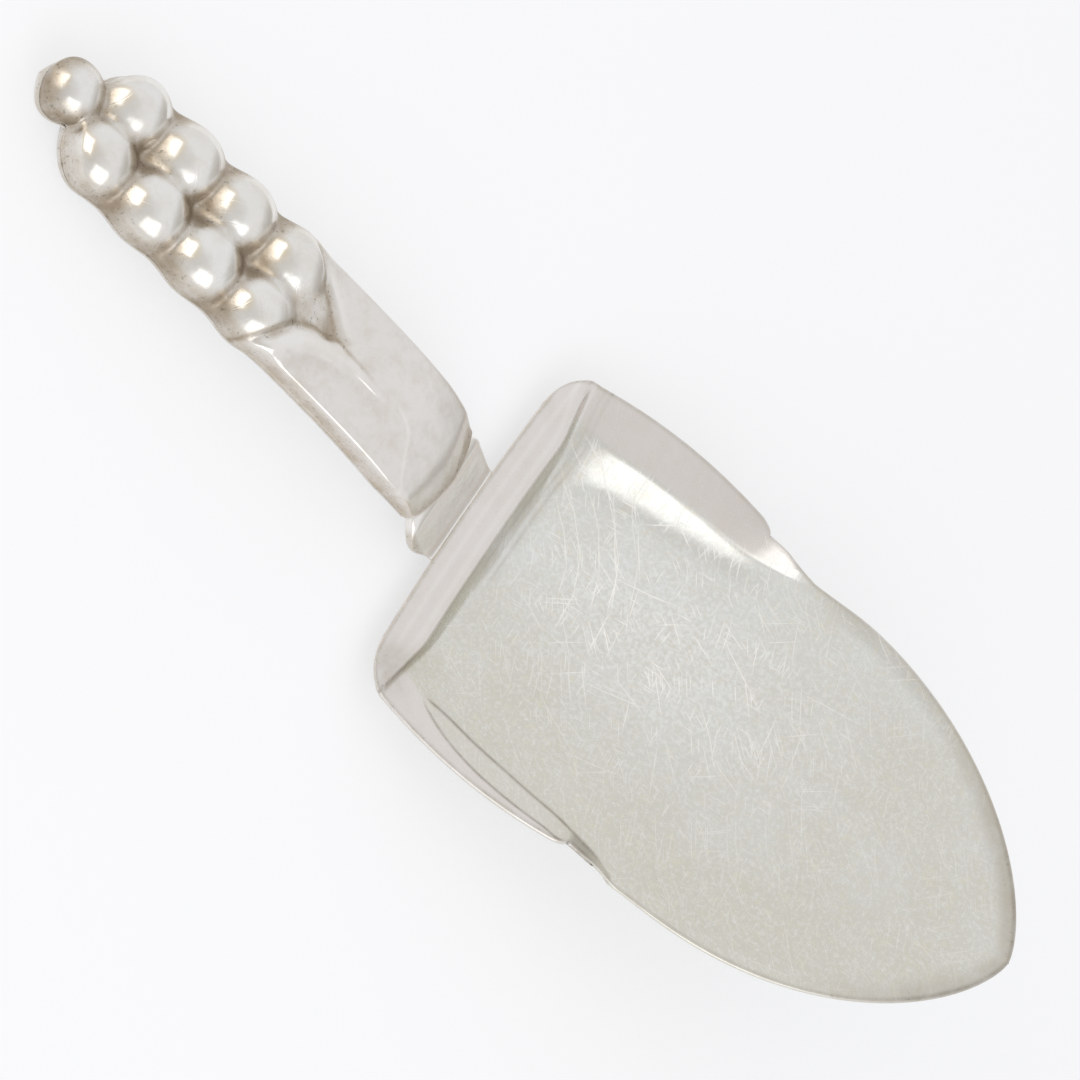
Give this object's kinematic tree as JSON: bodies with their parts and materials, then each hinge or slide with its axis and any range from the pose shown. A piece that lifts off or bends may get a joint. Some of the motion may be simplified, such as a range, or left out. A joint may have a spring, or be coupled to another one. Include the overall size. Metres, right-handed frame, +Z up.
{
  "type": "cake server",
  "caption": "Silver cake server with a dished, pointed blade, a raised lip at its back and sides, and a hollow handle stamped as a bunch of grapes with overlapping leaves.",
  "frame": {"origin": "under the middle of the bounding box, on the table the server rests on", "axes": "+X from the handle's tip towards the blade's point, +Z up, +Y to the left of someone who looks along +X"},
  "size_m": [0.19, 0.0616, 0.0337],
  "materials": {
    "silver": "polished and worn",
    "steel": "plain",
    "cement": "matte"
  },
  "bodies": {
    "root": {"blade": "silver", "neck": "silver", "handle_front": "silver", "handle_back": "silver", "tang": "steel", "handle_core": "cement"}
  },
  "joints": []
}
